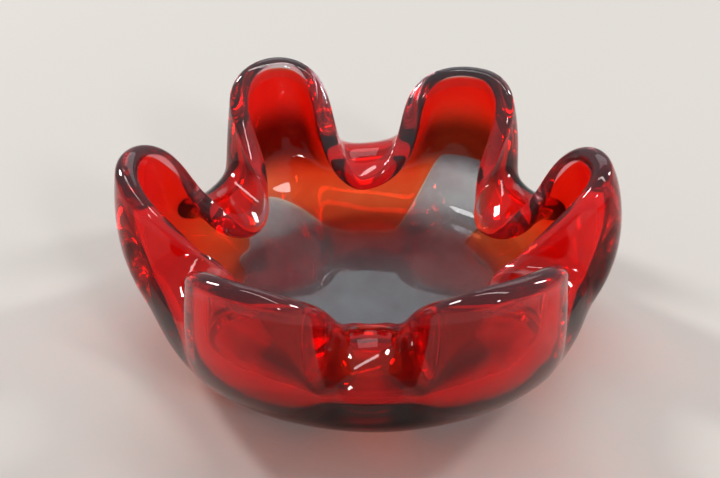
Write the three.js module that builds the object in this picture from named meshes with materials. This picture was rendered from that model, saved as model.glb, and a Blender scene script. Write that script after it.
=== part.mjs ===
// Six-lobed art glass bowl in cased ("sommerso") glass, millimetres, +Z up.
//
// The wall is one hot-worked sheet: it leaves a flat floor, swells into a round belly, and its
// rim is pulled up into six lobes with six folds pinched in between them. The layers of glass lie
// inside one another through the whole wall, so each is built between two depths of that sheet:
// clear casing outside, smoke gather and ruby band in the middle, clear lining inside, and a
// fire-polished lip that closes the layers along the rim.

import * as THREE from 'three';
import { ParametricGeometry } from 'three/addons/geometries/ParametricGeometry.js';

// Driving sizes of the sheet's middle surface.
const FLOOR_RADIUS = 40;
const FLOOR_THICKNESS = 15;
const RIM_THICKNESS = 9.6;
const BELLY_REACH = 118;
const LOBE_SHOULDER = { reach: 106, height: 68 };
const FOLD_SHOULDER = { reach: 96, height: 58 };

// Lobe tips and fold noses at the rim, anticlockwise from +X: direction in degrees, then the
// reach from the axis and the height of the sheet's middle. No two lobes were pulled alike.
const LOBES = [
  { direction: -3, reach: 97, height: 82 },
  { direction: 56, reach: 101, height: 84 },
  { direction: 119, reach: 104, height: 87 },
  { direction: 180, reach: 104, height: 81 },
  { direction: 246, reach: 107, height: 85 },
  { direction: 293, reach: 108, height: 87 }
];
const FOLDS = [
  { direction: 32, reach: 68, height: 26 },
  { direction: 94, reach: 56, height: 40 },
  { direction: 149, reach: 67, height: 27 },
  { direction: 210, reach: 68, height: 38 },
  { direction: 269, reach: 58, height: 35 },
  { direction: 335, reach: 61, height: 36 }
];
// How far the sides of a lobe swing towards being parallel, as a part of the lobe-to-fold angle.
const SIDE_SWING = 0.15;

// Layers, from the outside skin inwards.
const LAYER_GAP = 0.4;
const LINING_THICKNESS = 2.4;
const GATHER_THICKNESS = 6.5;
const RUBY_THICKNESS = 2.6;

// Rise runs up the sheet: 0 where the floor turns up, 1 along the rim.
const LIP_START = 0.94;
const LIP_CROWN = 4;
const RUBY_START = 0.1;
// How far each lobe drew the ruby's lower edge up, and how far each fold let it sag.
const RUBY_PULL = [0, 0.36, 0.14, 0, 0.14, 0.14];
const RUBY_SAG = [0, 0.05, 0, 0, 0.06, 0];
const PULL_SHARPNESS = 4;
const END_GAP = 0.4;
const RUBY_EDGE_GAP = 0.8;
const RUBY_TOP_GAP = 1.2;

// Mesh density.
const STEPS_PER_SIDE = 8;
const TIP_CLUSTERING = 0.08;
const ROWS_BELOW_RUBY = 4;
const ROWS_BESIDE_RUBY = 8;
const SKIN_ROWS = 12;
const LIP_ROWS = 2;
const CROWN_STEPS = 5;

const SIDES = LOBES.length + FOLDS.length;
const WALL_ROWS = ROWS_BELOW_RUBY + ROWS_BESIDE_RUBY;

const degrees = THREE.MathUtils.degToRad;
const lerp = THREE.MathUtils.lerp;

/** The lobe tip or fold nose that stands at a whole-numbered turn, lobes on the even ones. */
function cornerAt(turn) {
  const around = Math.floor(turn / SIDES);
  const index = turn - around * SIDES;
  const corner = index % 2 === 0 ? LOBES[index / 2] : FOLDS[(index - 1) / 2];
  return { ...corner, direction: corner.direction + 360 * around, isLobe: index % 2 === 0 };
}

/** Blends the corners on either side of a turn, and says how much of a lobe the place is. */
function rimAt(turn) {
  const before = cornerAt(Math.floor(turn));
  const after = cornerAt(Math.floor(turn) + 1);
  const along = turn - Math.floor(turn);
  const blend = 0.5 - 0.5 * Math.cos(Math.PI * along);
  const swing = SIDE_SWING * Math.sin(2 * Math.PI * along);
  return {
    direction: degrees(lerp(before.direction, after.direction, along)),
    swing: degrees((after.direction - before.direction) * swing),
    reach: lerp(before.reach, after.reach, blend),
    height: lerp(before.height, after.height, blend),
    lobe: before.isLobe ? 1 - blend : blend
  };
}

/** A point of the sheet's middle surface. */
function middleAt(turn, rise) {
  const rim = rimAt(turn);
  const profile = new THREE.CubicBezierCurve(
    new THREE.Vector2(FLOOR_RADIUS, FLOOR_THICKNESS / 2),
    new THREE.Vector2(BELLY_REACH, FLOOR_THICKNESS / 2),
    new THREE.Vector2(
      lerp(FOLD_SHOULDER.reach, LOBE_SHOULDER.reach, rim.lobe),
      lerp(FOLD_SHOULDER.height, LOBE_SHOULDER.height, rim.lobe)
    ),
    new THREE.Vector2(rim.reach, rim.height)
  );
  const place = profile.getPoint(rise);
  const direction = rim.direction + rim.swing * rise;
  return new THREE.Vector3(
    place.x * Math.cos(direction),
    place.x * Math.sin(direction),
    place.y
  );
}

/** Middle point, outward normal and upward tangent of the sheet. */
function sheetAt(turn, rise) {
  const step = 1e-3;
  const centre = middleAt(turn, rise);
  const around = middleAt(turn + step, rise).sub(middleAt(turn - step, rise));
  const up = middleAt(turn, rise + step).sub(middleAt(turn, rise - step)).normalize();
  const normal = new THREE.Vector3().crossVectors(around, up).normalize();
  return { centre, normal, up };
}

/** Full thickness of the glass. */
function thicknessAt(rise) {
  return lerp(FLOOR_THICKNESS, RIM_THICKNESS, Math.sin(rise * Math.PI / 2));
}

/** Depth below the outside skin where the casing ends and the middle layer begins. */
function casingDepthAt(rise) {
  const middle = lerp(GATHER_THICKNESS, RUBY_THICKNESS, Math.sin(rise * Math.PI / 2));
  return thicknessAt(rise) - LINING_THICKNESS - LAYER_GAP - middle;
}

/** Depth below the outside skin where the middle layer ends and the lining begins. */
function liningDepthAt(rise) {
  return thicknessAt(rise) - LINING_THICKNESS;
}

/** 1 at a corner, falling to 0 at the corners on either side of it. */
function nearness(turn, corner) {
  return 0.5 + 0.5 * Math.cos(Math.PI * (turn - corner));
}

/** Rise of the ruby's lower edge. */
function rubyStartAt(turn) {
  const lobe = Math.round(turn / 2);
  const fold = Math.floor(turn / 2);
  const pull = RUBY_PULL[lobe % LOBES.length] * nearness(turn, 2 * lobe) ** PULL_SHARPNESS;
  const sag = RUBY_SAG[fold % FOLDS.length] * nearness(turn, 2 * fold + 1);
  return RUBY_START + pull - sag;
}

/** Rise of one row of the buried faces, shared so that facing layers stay parallel. */
function buriedRise(turn, row) {
  const start = rubyStartAt(turn);
  if (row <= ROWS_BELOW_RUBY) {
    return start * row / ROWS_BELOW_RUBY;
  }
  return lerp(start, LIP_START, (row - ROWS_BELOW_RUBY) / ROWS_BESIDE_RUBY);
}

/** Rise of one row of the two polished skins. */
function skinRise(turn, row) {
  return LIP_START * row / SKIN_ROWS;
}

/** A point in the glass, at a depth below the outside skin. */
function glassPoint(turn, rise, depth) {
  const { centre, normal } = sheetAt(turn, rise);
  return centre.addScaledVector(normal, thicknessAt(rise) / 2 - depth);
}

/** A stop on the axis, where a layer's flat floor is closed. */
function axisStop(height) {
  return () => new THREE.Vector3(0, 0, height);
}

/** The rise a given distance further up the sheet, for the small gaps where layers meet. */
function riseBeyond(turn, rise, distance) {
  const step = 1e-3;
  const travel = middleAt(turn, rise + step).distanceTo(middleAt(turn, rise - step)) / (2 * step);
  return rise + distance / travel;
}

/** Stops up one face of a layer; `shifts` moves chosen rows along the sheet by millimetres. */
function faceStops(riseAt, firstRow, lastRow, depthAt, shifts = {}) {
  const stops = [];
  for (let row = firstRow; row <= lastRow; row++) {
    stops.push((turn) => {
      const rise = riseBeyond(turn, riseAt(turn, row), shifts[row] ?? 0);
      return glassPoint(turn, rise, depthAt(rise));
    });
  }
  return stops;
}

/** Turns the section's stops all the way round the bowl. `inward` swaps the facing. */
function layerGeometry(stops, inward) {
  const segments = stops.length - 1;
  const slices = SIDES * STEPS_PER_SIDE;
  const surface = (u, v, target) => {
    const even = u * SIDES;
    const turn = even - TIP_CLUSTERING * Math.sin(2 * Math.PI * even);
    const along = Math.min(v * segments, segments);
    const first = Math.min(Math.floor(along), segments - 1);
    target.lerpVectors(stops[first](turn), stops[first + 1](turn), along - first);
  };
  const geometry = new ParametricGeometry(surface, slices, segments);
  if (inward) {
    const index = geometry.getIndex();
    for (let corner = 0; corner < index.count; corner += 3) {
      const second = index.getX(corner + 1);
      index.setX(corner + 1, index.getX(corner + 2));
      index.setX(corner + 2, second);
    }
    geometry.computeVertexNormals();
  }
  return geometry;
}

function glassMesh(name, geometry, color) {
  const material = new THREE.MeshStandardMaterial({ color, roughness: 0.05, metalness: 0 });
  const mesh = new THREE.Mesh(geometry, material);
  mesh.name = name;
  return mesh;
}

/** Clear outer casing: the foot, the outside of the belly and the outside of the lobes. */
function clearCasing() {
  const skinDepth = () => 0;
  const buriedTop = { [WALL_ROWS]: -END_GAP / 2 };
  const skinTop = { [SKIN_ROWS]: -END_GAP / 2 };
  const stops = [
    axisStop(casingDepthAt(0)),
    ...faceStops(buriedRise, 0, WALL_ROWS, casingDepthAt, buriedTop),
    ...faceStops(skinRise, 0, SKIN_ROWS, skinDepth, skinTop).reverse(),
    axisStop(0)
  ];
  return glassMesh('clear_casing', layerGeometry(stops, true), 0xc8403a);
}

/** Clear lining: the floor of the bowl and the inside of its wall. */
function clearLining() {
  const buriedTop = { [WALL_ROWS]: -END_GAP / 2 };
  const skinTop = { [SKIN_ROWS]: -END_GAP / 2 };
  const stops = [
    axisStop(FLOOR_THICKNESS),
    ...faceStops(skinRise, 0, SKIN_ROWS, thicknessAt, skinTop),
    ...faceStops(buriedRise, 0, WALL_ROWS, liningDepthAt, buriedTop).reverse(),
    axisStop(liningDepthAt(0))
  ];
  return glassMesh('clear_lining', layerGeometry(stops, true), 0xd4563f);
}

/** Smoke-grey gather: the thick floor, its edge drawn up the wall to meet the ruby. */
function smokeGather() {
  const outer = (rise) => casingDepthAt(rise) + LAYER_GAP;
  const inner = (rise) => liningDepthAt(rise) - LAYER_GAP;
  const topEdge = { [ROWS_BELOW_RUBY]: -END_GAP / 2 };
  const stops = [
    axisStop(outer(0)),
    ...faceStops(buriedRise, 0, ROWS_BELOW_RUBY, outer, topEdge),
    ...faceStops(buriedRise, 0, ROWS_BELOW_RUBY, inner, topEdge).reverse(),
    axisStop(inner(0))
  ];
  return glassMesh('smoke_gather', layerGeometry(stops, false), 0x6f7073);
}

/** Ruby band: the coloured layer of the wall, buried between the casing and the lining. */
function rubyBand() {
  const outer = (rise) => casingDepthAt(rise) + LAYER_GAP;
  const inner = (rise) => liningDepthAt(rise) - LAYER_GAP;
  const edges = { [ROWS_BELOW_RUBY]: RUBY_EDGE_GAP, [WALL_ROWS]: -RUBY_TOP_GAP };
  const outerFace = faceStops(buriedRise, ROWS_BELOW_RUBY, WALL_ROWS, outer, edges);
  const innerFace = faceStops(buriedRise, ROWS_BELOW_RUBY, WALL_ROWS, inner, edges).reverse();
  const stops = [...outerFace, ...innerFace, outerFace[0]];
  return glassMesh('ruby_band', layerGeometry(stops, false), 0xc21a12);
}

/** Smoky fire-polished lip: closes the layers and rounds over along the rim. */
function rimLip() {
  const skinDepth = () => 0;
  const sideStop = (depthAt, row) => (turn) => {
    const start = riseBeyond(turn, LIP_START, END_GAP / 2);
    const rise = lerp(start, 1, row / LIP_ROWS);
    return glassPoint(turn, rise, depthAt(rise));
  };
  const crownStop = (step) => (turn) => {
    const angle = Math.PI * step / CROWN_STEPS;
    const { centre, normal, up } = sheetAt(turn, 1);
    return centre
      .addScaledVector(normal, RIM_THICKNESS / 2 * Math.cos(angle))
      .addScaledVector(up, LIP_CROWN * Math.sin(angle));
  };
  const stops = [];
  for (let row = 0; row <= LIP_ROWS; row++) {
    stops.push(sideStop(skinDepth, row));
  }
  for (let step = 1; step < CROWN_STEPS; step++) {
    stops.push(crownStop(step));
  }
  for (let row = LIP_ROWS; row >= 0; row--) {
    stops.push(sideStop(thicknessAt, row));
  }
  stops.push(sideStop(liningDepthAt, 0), sideStop(casingDepthAt, 0), stops[0]);
  return glassMesh('rim_lip', layerGeometry(stops, false), 0x55474a);
}

const bowl = new THREE.Group();
bowl.name = 'art_glass_bowl';
bowl.add(clearCasing(), smokeGather(), rubyBand(), clearLining(), rimLip());

// The origin stands on the table, under the middle of the bowl's outline.
const outline = new THREE.Box3().setFromObject(bowl);
const middle = outline.getCenter(new THREE.Vector3());
bowl.position.set(-middle.x, -middle.y, -outline.min.z);

export default bowl;
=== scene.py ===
"""Looks of the six-lobed art glass bowl: cased ("sommerso") glass, ruby over a smoke-grey floor.

The glass is one hot-worked sheet. Its polished skin runs from the foot up the outside, over the
fire-polished lip and down the inside to the middle of the floor, and three pieces share it: the
outer casing, the lip and the inner lining. The smoke gather and the ruby band lie between them.
Metres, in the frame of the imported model, +Z up.
"""
import math

import bpy
import numpy as np
from mathutils import Matrix, Vector, noise


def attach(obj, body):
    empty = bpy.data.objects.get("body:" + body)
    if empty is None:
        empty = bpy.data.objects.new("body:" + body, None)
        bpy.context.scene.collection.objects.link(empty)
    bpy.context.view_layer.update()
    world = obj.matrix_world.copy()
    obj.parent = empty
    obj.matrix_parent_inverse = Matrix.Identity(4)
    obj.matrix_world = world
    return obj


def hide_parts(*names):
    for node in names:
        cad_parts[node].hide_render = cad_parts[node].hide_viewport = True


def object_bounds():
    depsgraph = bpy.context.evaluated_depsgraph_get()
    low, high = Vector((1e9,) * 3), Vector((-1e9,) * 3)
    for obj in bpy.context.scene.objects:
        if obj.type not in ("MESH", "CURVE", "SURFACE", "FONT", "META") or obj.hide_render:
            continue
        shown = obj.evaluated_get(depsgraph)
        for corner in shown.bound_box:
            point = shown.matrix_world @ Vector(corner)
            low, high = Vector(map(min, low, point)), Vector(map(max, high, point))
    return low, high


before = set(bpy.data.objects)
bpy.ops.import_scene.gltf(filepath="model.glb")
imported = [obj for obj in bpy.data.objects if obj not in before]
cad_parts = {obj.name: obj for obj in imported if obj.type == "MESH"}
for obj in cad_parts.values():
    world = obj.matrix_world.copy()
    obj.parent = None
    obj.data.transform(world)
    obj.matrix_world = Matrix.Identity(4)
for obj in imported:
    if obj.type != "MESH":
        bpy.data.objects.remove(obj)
CAD_LOW, CAD_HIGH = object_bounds()

# ---------------------------------------------------------------- driving sizes, as in the CAD
MM = 0.001
FLOOR_RADIUS = 40 * MM
FLOOR_THICKNESS = 15 * MM
RIM_THICKNESS = 9.6 * MM
BELLY_REACH = 118 * MM
LOBE_SHOULDER = (106 * MM, 68 * MM)
FOLD_SHOULDER = (96 * MM, 58 * MM)
SIDE_SWING = 0.15

# Lobe tips and fold noses at the rim: direction in degrees, reach and height in millimetres.
LOBES = ((-3, 97, 82), (56, 101, 84), (119, 104, 87), (180, 104, 81), (246, 107, 85), (293, 108, 87))
FOLDS = ((32, 68, 26), (94, 56, 40), (149, 67, 27), (210, 68, 38), (269, 58, 35), (335, 61, 36))
SIDES = len(LOBES) + len(FOLDS)

LINING_THICKNESS = 2.4 * MM
GATHER_THICKNESS = 6.5 * MM
RUBY_THICKNESS = 2.6 * MM
LAYER_GAP = 0.4 * MM
LIP_START = 0.94
LIP_CROWN = 4 * MM
RUBY_START = 0.1

# Places round the bowl are given in turns: lobes on even ones, folds on odd ones, twelve in all.
# Rises run from 0 at the edge of the floor to 1 at the rim.
# Stretches of the ruby's lower edge that were drawn up (or sagged, below zero). Each has its middle,
# half width and fade in turns, and its height.
RUBY_SHIFTS = (
    (1.9, 0.28, 0.36, 0.38),
    (3.0, 0.2, 0.8, -0.05),
    (4.4, 0.1, 0.6, 0.2),
    (5.0, 0.3, 0.4, 0.05),
    (8.0, 0.35, 0.5, 0.14),
    (9.0, 0.1, 0.6, -0.08),
    (10.0, 0.35, 0.5, 0.14),
)
# Painted shade: darker bands tinted into the skin where the walls show dark surroundings, half way up
# the two back lobes and low on the two front ones. Each has its middle, and the rises where it starts
# and ends.
PAINTED_SHADE_BANDS = ((2, 0.36, 0.8), (4, 0.36, 0.8), (8, 0.08, 0.36), (10, 0.08, 0.36))
SHADE_BAND_SIDES = (0.3, 0.95)
SHADE_BAND_FADE_IN = 0.14
SHADE_BAND_FADE_OUT = 0.2

# The two back lobes, whose lips are tinted smoke-grey as painted shade for the dark surroundings they
# show, and where that ends on either side of each.
SHADED_LIP_LOBES = (2, 4)
SHADED_LIP_SIDES = (0.5, 1.0)

# Mesh density.
STEPS_PER_SIDE = 32
FLOOR_ROWS = 12
WALL_ROWS = 60
LIP_ROWS = 6
CROWN_ROWS = 18
BURIED_ROWS = 40
BURIED_FLOOR_SHARES = (0, 0.25, 0.5, 0.75)
RUBY_ROWS = 48
SMOKE_ROWS = 16

# The buried layers as they look: the ruby starts just above the smoke, thin, and reaches its full
# thickness part of the way up. It is stretched thinner over the folds, and rolled fine where it
# ends inside the lip.
RUBY_EDGE_THICKNESS = 1.2 * MM
RUBY_FULL_FROM = 0.05
RUBY_FULL_AT = 0.7
RUBY_LIFT = 0.004
RUBY_END = 0.998
ROLL_START = 0.96
ROLL_THINNEST = 0.2
FOLD_STRETCH = 0.7
EDGE = 0.06 * MM

# Rises above the ruby's lower edge over which the skin takes on its tint, and then deepens.
RUBY_TINT_RISES = (-0.02, 0.05)
DEEP_TINT_RISES = (0.05, 0.6)

# Hot-worked glass is never quite even. The ground foot stays flat.
UNDULATION = 0.25 * MM
UNDULATION_SIZE = 26 * MM
UNDULATION_HEIGHTS = (0.2 * MM, 9 * MM)


# ---------------------------------------------------------------- the sheet of glass
def mix(first, last, share):
    return first + (last - first) * share


def smooth(low, high, value):
    """0 below low, 1 above high, and an even S in between."""
    share = np.clip((value - low) / (high - low), 0, 1)
    return share * share * (3 - 2 * share)


def corner_table():
    """Direction in radians, reach, height and share of lobe of each corner, lobes on even rows."""
    rows = []
    for lobe, fold in zip(LOBES, FOLDS):
        for (direction, reach, height), is_lobe in ((lobe, 1), (fold, 0)):
            rows.append((math.radians(direction), reach * MM, height * MM, is_lobe))
    return np.array(rows)


CORNERS = corner_table()


def corner_at(turn):
    found = CORNERS[turn % SIDES].copy()
    found[..., 0] += 2 * math.pi * (turn // SIDES)
    return found


def rim_at(turn):
    """Direction, its swing, reach, height and share of lobe at each turn."""
    whole = np.floor(turn).astype(int)
    before, after = corner_at(whole), corner_at(whole + 1)
    along = turn - whole
    blend = 0.5 - 0.5 * np.cos(np.pi * along)
    direction = mix(before[..., 0], after[..., 0], along)
    swing = SIDE_SWING * np.sin(2 * np.pi * along) * (after[..., 0] - before[..., 0])
    reach, height, lobe = (mix(before[..., i], after[..., i], blend) for i in (1, 2, 3))
    return direction, swing, reach, height, lobe


def middle_at(turn, rise):
    """Points of the sheet's middle surface."""
    direction, swing, reach, height, lobe = rim_at(turn)
    shoulder_reach = mix(FOLD_SHOULDER[0], LOBE_SHOULDER[0], lobe)
    shoulder_height = mix(FOLD_SHOULDER[1], LOBE_SHOULDER[1], lobe)
    start, belly, shoulder, end = (
        (1 - rise) ** 3,
        3 * (1 - rise) ** 2 * rise,
        3 * (1 - rise) * rise**2,
        rise**3,
    )
    out = start * FLOOR_RADIUS + belly * BELLY_REACH + shoulder * shoulder_reach + end * reach
    up = (start + belly) * FLOOR_THICKNESS / 2 + shoulder * shoulder_height + end * height
    angle = direction + swing * rise
    return np.stack((out * np.cos(angle), out * np.sin(angle), up), -1)


def unit(vectors):
    return vectors / np.linalg.norm(vectors, axis=-1, keepdims=True)


def sheet_at(turn, rise):
    """Middle point, outward normal and upward tangent of the sheet."""
    step = 1e-3
    around = middle_at(turn + step, rise) - middle_at(turn - step, rise)
    up = unit(middle_at(turn, rise + step) - middle_at(turn, rise - step))
    return middle_at(turn, rise), unit(np.cross(around, up)), up


def thickness_at(rise):
    return mix(FLOOR_THICKNESS, RIM_THICKNESS, np.sin(rise * np.pi / 2))


def lining_depth_at(rise):
    return thickness_at(rise) - LINING_THICKNESS


def casing_depth_at(rise):
    middle = mix(GATHER_THICKNESS, RUBY_THICKNESS, np.sin(rise * np.pi / 2))
    return lining_depth_at(rise) - LAYER_GAP - middle


def glass_row(turn, rise, depth):
    """One row round the bowl, at a depth below the outside skin."""
    rise = rise + 0 * turn
    centre, normal, _ = sheet_at(turn, rise)
    return centre + normal * (thickness_at(rise) / 2 - depth)[:, None]


def floor_row(turn, share, height):
    """One ring of the flat floor, at a share of its radius."""
    direction = rim_at(turn)[0]
    radius = share * FLOOR_RADIUS
    return np.stack((radius * np.cos(direction), radius * np.sin(direction), height + 0 * turn), -1)


def crown_row(turn, angle):
    """One row over the lip, from the outside at 0 to the inside at pi."""
    centre, normal, up = sheet_at(turn, 1 + 0 * turn)
    across = RIM_THICKNESS / 2 * math.cos(angle)
    return centre + normal * across + up * (LIP_CROWN * math.sin(angle))


def turns_away(turn, middle_turn):
    """How far a turn is from another, the shorter way round."""
    return np.abs((turn - middle_turn + SIDES / 2) % SIDES - SIDES / 2)


def ruby_start_at(turn):
    """Rise of the ruby's lower edge, with the stretches that were drawn up or sagged."""
    start = RUBY_START + 0 * turn
    for middle_turn, half_width, fade, height in RUBY_SHIFTS:
        away = turns_away(turn, middle_turn)
        start = start + height * (1 - smooth(half_width, half_width + fade, away))
    return start


def painted_shade_at(turn, rise):
    """1 inside the bands of painted shade on the lobes, 0 outside them."""
    share = 0
    for middle_turn, low, high in PAINTED_SHADE_BANDS:
        beside = 1 - smooth(*SHADE_BAND_SIDES, turns_away(turn, middle_turn))
        above = smooth(low, low + SHADE_BAND_FADE_IN, rise)
        below = 1 - smooth(high - SHADE_BAND_FADE_OUT, high, rise)
        share = share + beside * above * below
    return share


def lip_shade_at(turn):
    """1 over the back lobes, whose lips are tinted smoke-grey as painted shade, and 0 where the lip
    took up ruby.
    """
    return sum(1 - smooth(*SHADED_LIP_SIDES, turns_away(turn, lobe)) for lobe in SHADED_LIP_LOBES)


# ---------------------------------------------------------------- the polished skin
TURNS = np.arange(SIDES * STEPS_PER_SIDE) / STEPS_PER_SIDE


def skin_rows():
    """Rows of the whole skin with the rise of each, and the two rows where the lip begins."""
    floor_shares = np.linspace(0, 1, FLOOR_ROWS, endpoint=False)
    wall_rises = np.linspace(0, LIP_START, WALL_ROWS)
    lip_rises = np.linspace(LIP_START, 1, LIP_ROWS)[1:]
    climb = np.concatenate((wall_rises, lip_rises))
    rows, rises = [], []
    for share in floor_shares:
        rows.append(floor_row(TURNS, share, 0))
        rises.append(0)
    for rise in climb:
        rows.append(glass_row(TURNS, rise, 0))
        rises.append(rise)
    for angle in np.linspace(0, math.pi, CROWN_ROWS)[1:-1]:
        rows.append(crown_row(TURNS, angle))
        rises.append(1)
    for rise in climb[::-1]:
        rows.append(glass_row(TURNS, rise, thickness_at(rise)))
        rises.append(rise)
    for share in floor_shares[::-1]:
        rows.append(floor_row(TURNS, share, FLOOR_THICKNESS))
        rises.append(0)
    lip_first = FLOOR_ROWS + WALL_ROWS - 1
    lip_last = len(rows) - 1 - lip_first
    return np.array(rows), np.array(rises, float), lip_first, lip_last


def row_normals(rows):
    """Normals that point out of the glass, for rows that end on the axis."""
    around = np.roll(rows, -1, axis=1) - np.roll(rows, 1, axis=1)
    along = np.empty_like(rows)
    along[1:-1] = rows[2:] - rows[:-2]
    along[0] = rows[1] - rows[0]
    along[-1] = rows[-1] - rows[-2]
    normals = np.cross(around, along)
    normals[0] = (0, 0, -1)
    normals[-1] = (0, 0, 1)
    return unit(normals)


def undulate(rows):
    """Lets the skin wander slightly, except at the foot."""
    normals = row_normals(rows)
    flat = rows.reshape(-1, 3) / UNDULATION_SIZE
    wander = np.array([noise.noise(Vector(p)) for p in flat]).reshape(rows.shape[:2])
    wander *= UNDULATION * smooth(*UNDULATION_HEIGHTS, rows[..., 2])
    wander[[0, -1]] = wander[[0, -1]].mean(axis=1, keepdims=True)
    return rows + normals * wander[..., None]


# ---------------------------------------------------------------- meshes
def new_object(name, vertices, faces):
    mesh = bpy.data.meshes.new(name)
    mesh.from_pydata(vertices.tolist(), [], faces)
    piece = bpy.data.objects.new(name, mesh)
    bpy.context.scene.collection.objects.link(piece)
    return piece


def is_pole(row):
    return np.ptp(row, axis=0).max() < 1e-9


def loft(name, rows, ring=False):
    """A closed body swept round the bowl. Rows on the axis become single points; a ring's last row
    joins its first. Returns the piece and, for each face, the row it starts from."""
    slices = rows.shape[1]
    vertices, first_index = [], []
    for row in rows:
        first_index.append(sum(map(len, vertices)))
        vertices.append(row[:1] if is_pole(row) else row)
    faces, face_rows = [], []
    spans = len(rows) if ring else len(rows) - 1
    for row in range(spans):
        after = (row + 1) % len(rows)
        low, high = first_index[row], first_index[after]
        for here in range(slices):
            there = (here + 1) % slices
            if len(vertices[row]) == 1:
                faces.append((low, high + there, high + here))
            elif len(vertices[after]) == 1:
                faces.append((low + here, low + there, high))
            else:
                faces.append((low + here, low + there, high + there, high + here))
            face_rows.append(row)
    piece = new_object(name, np.concatenate(vertices), faces)
    return piece, np.array(face_rows)


def row_values(rows, values):
    """One value for each vertex of a loft, from one value for each place in its rows."""
    kept = [value[:1] if is_pole(row) else value for row, value in zip(rows, values)]
    return np.concatenate(kept)


def set_attribute(piece, name, values):
    attribute = piece.data.attributes.new(name, "FLOAT", "POINT")
    attribute.data.foreach_set("value", values.astype(np.float32))


def polish(piece, face_rows, skin_spans, normals):
    """Gives skin faces the skin's own normals, so that pieces meet with no visible seam."""
    mesh = piece.data
    on_skin = face_rows < skin_spans
    mesh.polygons.foreach_set("material_index", (~on_skin).astype(np.int32))
    mesh.polygons.foreach_set("use_smooth", np.ones(len(mesh.polygons), bool))
    loops = np.zeros((len(mesh.loops), 3))
    for polygon in mesh.polygons:
        if on_skin[polygon.index]:
            for loop in polygon.loop_indices:
                loops[loop] = normals[mesh.loops[loop].vertex_index]
    mesh.normals_split_custom_set(loops.tolist())


def buried_rows(depth_at):
    """Rows of a buried face from the axis out over the floor and up to the lip."""
    floor = [floor_row(TURNS, share, depth_at(0)) for share in BURIED_FLOOR_SHARES]
    rises = np.linspace(0, LIP_START, BURIED_ROWS)
    return np.array(floor + [glass_row(TURNS, rise, depth_at(rise)) for rise in rises])


def core_rows(rise_from, rise_to, outer_at, inner_at, count):
    """Rows round a coloured layer: up its outer face, then down its inner one."""
    outer, inner = [], []
    for share in np.linspace(0, 1, count):
        rise = mix(rise_from, rise_to, share)
        outer.append(glass_row(TURNS, rise, outer_at(rise, share)))
        inner.append(glass_row(TURNS, rise, inner_at(rise, share)))
    return outer, inner[::-1]


# ---------------------------------------------------------------- the five pieces
skin, skin_rises, lip_first, lip_last = skin_rows()
skin = undulate(skin)
skin_normals = row_normals(skin)


def fold_stretch_at(turn):
    """How much of the ruby's thickness is left: all of it over the lobes, less over the folds."""
    return mix(FOLD_STRETCH, 1, rim_at(turn)[4])


def tint_skin(piece, rows, first, last):
    """Marks a skin piece with where ruby lies under it, how deep it is, where the back lobes' lips take
    painted shade, and where the bands of painted shade lie.
    """
    buried_count = len(rows) - (last + 1 - first)
    rises = np.concatenate((skin_rises[first : last + 1], np.full(buried_count, LIP_START)))
    above_ruby_edge = rises[:, None] - ruby_start_at(TURNS)
    ruby_share = smooth(*RUBY_TINT_RISES, above_ruby_edge)
    deep_share = smooth(*DEEP_TINT_RISES, above_ruby_edge) * fold_stretch_at(TURNS)
    # Painted shade: the smoke-grey lip over the two back lobes.
    lip_shade_share = 0 * rises[:, None] + lip_shade_at(TURNS)
    set_attribute(piece, "ruby_share", row_values(rows, ruby_share))
    set_attribute(piece, "deep_share", row_values(rows, deep_share))
    set_attribute(piece, "lip_shade_share", row_values(rows, lip_shade_share))
    # Painted shade: where the dark bands lie on the walls.
    set_attribute(piece, "painted_shade_share", row_values(rows, painted_shade_at(TURNS, rises[:, None])))


def skin_piece(name, buried, first, last, ring=False):
    """A piece with rows first to last of the polished skin, closed by its buried rows."""
    rows = np.concatenate((skin[first : last + 1], buried))
    piece, face_rows = loft(name, rows, ring)
    padded = np.concatenate((skin_normals[first : last + 1], np.zeros_like(buried)))
    polish(piece, face_rows, last - first, row_values(rows, padded))
    tint_skin(piece, rows, first, last)
    return piece, rows


def build_skins():
    """Casing, lining and lip share the polished skin and are closed by their buried faces."""
    casing_buried = buried_rows(casing_depth_at)
    lining_buried = buried_rows(lining_depth_at)
    lip_floor = np.array([lining_buried[-1], casing_buried[-1]])
    end = len(skin) - 1
    return (
        skin_piece("outer_casing", casing_buried[::-1], 0, lip_first),
        skin_piece("inner_lining", lining_buried, lip_last, end),
        skin_piece("polished_lip", lip_floor, lip_first, lip_last, ring=True),
    )


def ruby_thickness_at(share):
    """Thin orange glass near the lower edge, full ruby above, and a fine rolled upper edge."""
    rolled = mix(ROLL_THINNEST, 1, 1 - smooth(ROLL_START, 1.0, share))
    full = smooth(RUBY_FULL_FROM, RUBY_FULL_AT, share)
    return mix(RUBY_EDGE_THICKNESS, RUBY_THICKNESS, full) * rolled * fold_stretch_at(TURNS)


def build_ruby():
    outer, inner = core_rows(
        ruby_start_at(TURNS) + RUBY_LIFT,
        RUBY_END,
        lambda rise, share: lining_depth_at(rise) - EDGE - ruby_thickness_at(share),
        lambda rise, share: lining_depth_at(rise) - EDGE,
        RUBY_ROWS,
    )
    return loft("ruby_wall", np.array(outer + inner), ring=True)[0]


def build_smoke():
    outer, inner = core_rows(
        0 * TURNS,
        ruby_start_at(TURNS),
        lambda rise, share: casing_depth_at(rise) + EDGE,
        lambda rise, share: lining_depth_at(rise) - EDGE,
        SMOKE_ROWS,
    )
    below = [floor_row(TURNS, share, casing_depth_at(0) + EDGE) for share in BURIED_FLOOR_SHARES]
    above = [floor_row(TURNS, share, lining_depth_at(0) - EDGE) for share in BURIED_FLOOR_SHARES]
    return loft("smoke_floor", np.array(below + outer + inner + above[::-1]))[0]


def outline_middle(rows):
    points = np.concatenate([row.reshape(-1, 3) for row in rows])
    return (points.min(axis=0) + points.max(axis=0)) / 2


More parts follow.
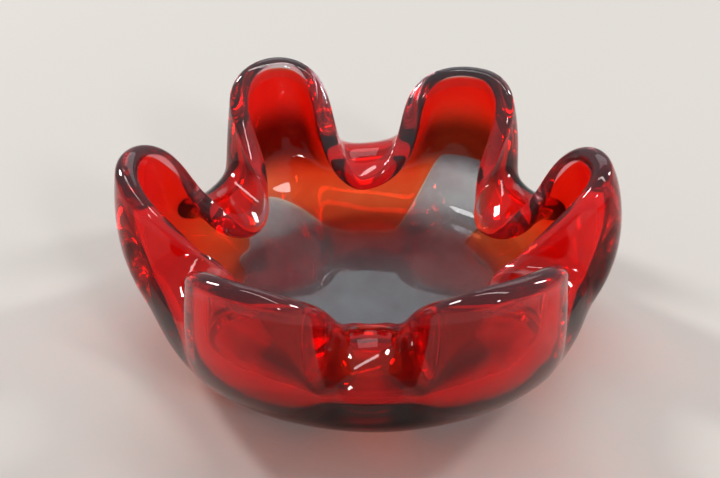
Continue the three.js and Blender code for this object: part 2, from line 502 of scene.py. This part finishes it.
(casing, casing_rows), (lining, _), (lip, lip_rows) = build_skins()
ruby, smoke = build_ruby(), build_smoke()
for core in (ruby, smoke):
    core.data.polygons.foreach_set("use_smooth", np.ones(len(core.data.polygons), bool))

# The bowl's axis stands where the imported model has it: under the middle of the outline.
own_middle = outline_middle((casing_rows, lip_rows))
cad_middle = (CAD_LOW + CAD_HIGH) / 2
AXIS = Vector((cad_middle.x - own_middle[0], cad_middle.y - own_middle[1], 0))
for piece in (casing, lining, lip, ruby, smoke):
    piece.data.transform(Matrix.Translation(AXIS))


# ---------------------------------------------------------------- materials
SKIN_IOR = 1.5
BONDED_IOR = 1.0
WHITE = (1, 1, 1)
LINING_SMOKE_TINT = (0.76, 0.81, 0.84)
CASING_SMOKE_TINT = (0.8, 0.84, 0.86)
ORANGE_TINT = (1.0, 0.8, 0.55)
RUBY_TINT = (0.99, 0.4, 0.44)
# Painted shade: the dark tint of the bands on the lobes.
PAINTED_SHADE_TINT = (0.2, 0.13, 0.15)
# Painted shade: smoke-grey lip tint over the back lobes, for the dark surroundings their rims show.
LIP_SHADE_TINT = (0.74, 0.68, 0.71)
LIP_RUBY_TINT = (0.97, 0.4, 0.44)
VEIL_TINT = (0.91, 0.72, 0.74)
LIP_VEIL_TINT = (0.85, 0.8, 0.82)

# The share of light that each surface scatters.
CASING_HAZE = 0.012
LINING_HAZE = 0.05
LIP_HAZE = 0.07

# Streaks: how fine they are, and the noise values where they start and are full.
WALL_STREAKS = (22, 0.44, 0.64)
LIP_STREAKS = (34, 0.35, 0.75)
CORE_STREAKS = (60, 0.4, 0.8)
CORE_STRETCH = (1, 1, 0.25)
STREAK_DETAIL = 3
STREAK_DISTORTION = 0.6

# Coloured glass: what it lets through, how dense it is, and the tint of its streaks.
RUBY_GLASS = ((0.998, 0.44, 0.11), 2200, (0.97, 0.86, 0.82))
SMOKE_GLASS = ((0.3, 0.32, 0.36), 90, (0.88, 0.88, 0.89))


def new_glass(name, ior, haze=0):
    """A clear polished glass."""
    material = bpy.data.materials.new(name)
    material.use_nodes = True
    shader = material.node_tree.nodes["Principled BSDF"]
    shader.inputs["Base Color"].default_value = (*WHITE, 1)
    shader.inputs["Transmission Weight"].default_value = 1 - haze
    shader.inputs["Roughness"].default_value = 0
    shader.inputs["IOR"].default_value = ior
    return material, shader


def color_sockets(sockets):
    return [socket for socket in sockets if socket.type == "RGBA"]


def color_blend(material, first, last):
    """A node that blends two colours, each a plain colour or another node's output."""
    blend = material.node_tree.nodes.new("ShaderNodeMix")
    blend.data_type = "RGBA"
    for socket, value in zip(color_sockets(blend.inputs), (first, last)):
        if isinstance(value, tuple):
            socket.default_value = (*value, 1)
        else:
            material.node_tree.links.new(value, socket)
    return blend


def mixed_color(material, factor, first, last):
    blend = color_blend(material, first, last)
    material.node_tree.links.new(factor, blend.inputs["Factor"])
    return color_sockets(blend.outputs)[0]


def multiplied(material, first, last):
    blend = color_blend(material, first, last)
    blend.blend_type = "MULTIPLY"
    blend.inputs["Factor"].default_value = 1
    return color_sockets(blend.outputs)[0]


def attribute(material, name):
    node = material.node_tree.nodes.new("ShaderNodeAttribute")
    node.attribute_name = name
    return node.outputs["Fac"]


def streaks(material, scale, low, high, stretch=(1, 1, 1)):
    """Soft streaks, 0 to 1, as colour lies in hot-worked glass."""
    nodes, links = material.node_tree.nodes, material.node_tree.links
    place = nodes.new("ShaderNodeTexCoord")
    mapping = nodes.new("ShaderNodeMapping")
    mapping.inputs["Scale"].default_value = stretch
    texture = nodes.new("ShaderNodeTexNoise")
    texture.inputs["Scale"].default_value = scale
    texture.inputs["Detail"].default_value = STREAK_DETAIL
    texture.inputs["Distortion"].default_value = STREAK_DISTORTION
    shape = nodes.new("ShaderNodeMapRange")
    shape.inputs["From Min"].default_value = low
    shape.inputs["From Max"].default_value = high
    links.new(place.outputs["Object"], mapping.inputs["Vector"])
    links.new(mapping.outputs["Vector"], texture.inputs["Vector"])
    links.new(texture.outputs["Fac"], shape.inputs["Value"])
    return shape.outputs["Result"]


def wall_skin(name, smoke_tint, haze):
    """Polished skin that takes its tint from the smoke and the ruby which lie under it, darkened in
    bands of painted shade.
    """
    material, shader = new_glass(name, SKIN_IOR, haze)
    ruby_tint = mixed_color(material, attribute(material, "deep_share"), ORANGE_TINT, RUBY_TINT)
    tint = mixed_color(material, attribute(material, "ruby_share"), smoke_tint, ruby_tint)
    shade = mixed_color(material, streaks(material, *WALL_STREAKS), WHITE, VEIL_TINT)
    # Painted shade: dark bands multiplied into the skin's tint.
    painted_shade = mixed_color(material, attribute(material, "painted_shade_share"), WHITE, PAINTED_SHADE_TINT)
    product = multiplied(material, multiplied(material, tint, shade), painted_shade)
    material.node_tree.links.new(product, shader.inputs["Base Color"])
    return material


def lip_skin():
    """The lip: tinted smoke-grey over the two back lobes as painted shade, and red where it took up
    ruby.
    """
    material, shader = new_glass("lip_skin", SKIN_IOR, LIP_HAZE)
    lip_shade_share = attribute(material, "lip_shade_share")
    # Painted shade: smoke-grey over the back lobes' lips.
    tint = mixed_color(material, lip_shade_share, LIP_RUBY_TINT, LIP_SHADE_TINT)
    shade = mixed_color(material, streaks(material, *LIP_STREAKS), WHITE, LIP_VEIL_TINT)
    material.node_tree.links.new(multiplied(material, tint, shade), shader.inputs["Base Color"])
    return material


def colored_core(name, absorbed, density, streak_tint):
    """Coloured glass buried in clear glass: it bends nothing and only takes light away."""
    material, shader = new_glass(name, BONDED_IOR)
    veil = streaks(material, *CORE_STREAKS, CORE_STRETCH)
    tint = mixed_color(material, veil, WHITE, streak_tint)
    material.node_tree.links.new(tint, shader.inputs["Base Color"])
    volume = material.node_tree.nodes.new("ShaderNodeVolumeAbsorption")
    volume.inputs["Color"].default_value = (*absorbed, 1)
    volume.inputs["Density"].default_value = density
    output = material.node_tree.nodes["Material Output"]
    material.node_tree.links.new(volume.outputs["Volume"], output.inputs["Volume"])
    return material


bonded_face = new_glass("bonded_face", BONDED_IOR)[0]
for piece, skin_material in (
    (casing, wall_skin("casing_skin", CASING_SMOKE_TINT, CASING_HAZE)),
    (lining, wall_skin("lining_skin", LINING_SMOKE_TINT, LINING_HAZE)),
    (lip, lip_skin()),
):
    piece.data.materials.append(skin_material)
    piece.data.materials.append(bonded_face)
ruby.data.materials.append(colored_core("ruby_core", *RUBY_GLASS))
smoke.data.materials.append(colored_core("smoke_core", *SMOKE_GLASS))

for piece, node, slot in (
    (casing, "clear_casing", "casing_glass"),
    (lining, "clear_lining", "lining_glass"),
    (lip, "rim_lip", "lip_glass"),
    (ruby, "ruby_band", "ruby_glass"),
    (smoke, "smoke_gather", "smoke_glass"),
):
    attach(piece, "root")
    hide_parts(node)


# ---------------------------------------------------------------- studio
FLOOR_REACH = 6.0
FLOOR_DROP = 0.1 * MM
FLOOR_COLOR = (0.59, 0.555, 0.515)
SKY_COLOR = (0.93, 0.96, 1.0)
SKY_STRENGTH = 0.36
BACK_COLOR = (0.92, 0.96, 1.0)
BOWL_MIDDLE = (0, 0, 0.04)


def studio_floor():
    reach = FLOOR_REACH
    corners = np.array([(-reach, -reach, 0), (reach, -reach, 0), (reach, reach, 0), (-reach, reach, 0)])
    floor = new_object("studio_floor", corners, [(0, 1, 2, 3)])
    floor.location.z = CAD_LOW.z - FLOOR_DROP
    material = bpy.data.materials.new("studio_floor")
    material.use_nodes = True
    shader = material.node_tree.nodes["Principled BSDF"]
    shader.inputs["Base Color"].default_value = (*FLOOR_COLOR, 1)
    shader.inputs["Roughness"].default_value = 0.7
    floor.data.materials.append(material)


def area_light(name, location, size, power, color=WHITE):
    """A soft rectangular light aimed at the middle of the bowl."""
    data = bpy.data.lights.new(name, "AREA")
    data.shape = "RECTANGLE"
    data.size, data.size_y = size
    data.energy = power
    data.color = color
    light = bpy.data.objects.new(name, data)
    light.location = location
    aim = Vector(BOWL_MIDDLE) - Vector(location)
    light.rotation_euler = aim.to_track_quat("-Z", "Y").to_euler()
    bpy.context.scene.collection.objects.link(light)


def studio_lights():
    world = bpy.data.worlds.new("studio")
    bpy.context.scene.world = world
    world.use_nodes = True
    background = world.node_tree.nodes["Background"]
    background.inputs["Color"].default_value = (*SKY_COLOR, 1)
    background.inputs["Strength"].default_value = SKY_STRENGTH
    area_light("window_left", (-1.2, 0.9, 1.2), (0.25, 0.45), 13)
    area_light("window_back", (0.25, 1.9, 1.35), (1.6, 0.9), 4.5, BACK_COLOR)
    area_light("overhead", (0.2, 0.3, 1.6), (1.8, 0.16), 7)
    area_light("window_right", (1.3, 0.5, 1.0), (0.2, 0.4), 7)
    area_light("front", (0.9, -1.4, 1.0), (0.2, 0.35), 6)


CAMERA_ELEVATION = math.radians(34)
CAMERA_DISTANCE = 0.409
CAMERA_TARGET = Vector((-5.0 * MM, 0, 42.8 * MM)) + AXIS
SENSOR_WIDTH = 36
FOCAL_LENGTH = 45.4


def camera():
    """The camera stands in front of the bowl and looks down at it."""
    data = bpy.data.cameras.new("camera")
    data.sensor_width = SENSOR_WIDTH
    data.lens = FOCAL_LENGTH
    data.clip_start = 0.01
    found = bpy.data.objects.new("camera", data)
    away = Vector((0, -math.cos(CAMERA_ELEVATION), math.sin(CAMERA_ELEVATION)))
    found.location = CAMERA_TARGET + CAMERA_DISTANCE * away
    found.rotation_euler = (CAMERA_TARGET - found.location).to_track_quat("-Z", "Y").to_euler()
    bpy.context.scene.collection.objects.link(found)
    bpy.context.scene.camera = found


# Light passes many faces of this glass before it comes out again.
GLASS_BOUNCES = 128
GLOSS_BOUNCES = 12

studio_floor()
studio_lights()
camera()
scene = bpy.context.scene
scene.view_settings.view_transform = "Standard"
scene.view_settings.look = "Medium High Contrast"
scene.cycles.max_bounces = GLASS_BOUNCES
scene.cycles.transmission_bounces = GLASS_BOUNCES
scene.cycles.glossy_bounces = GLOSS_BOUNCES
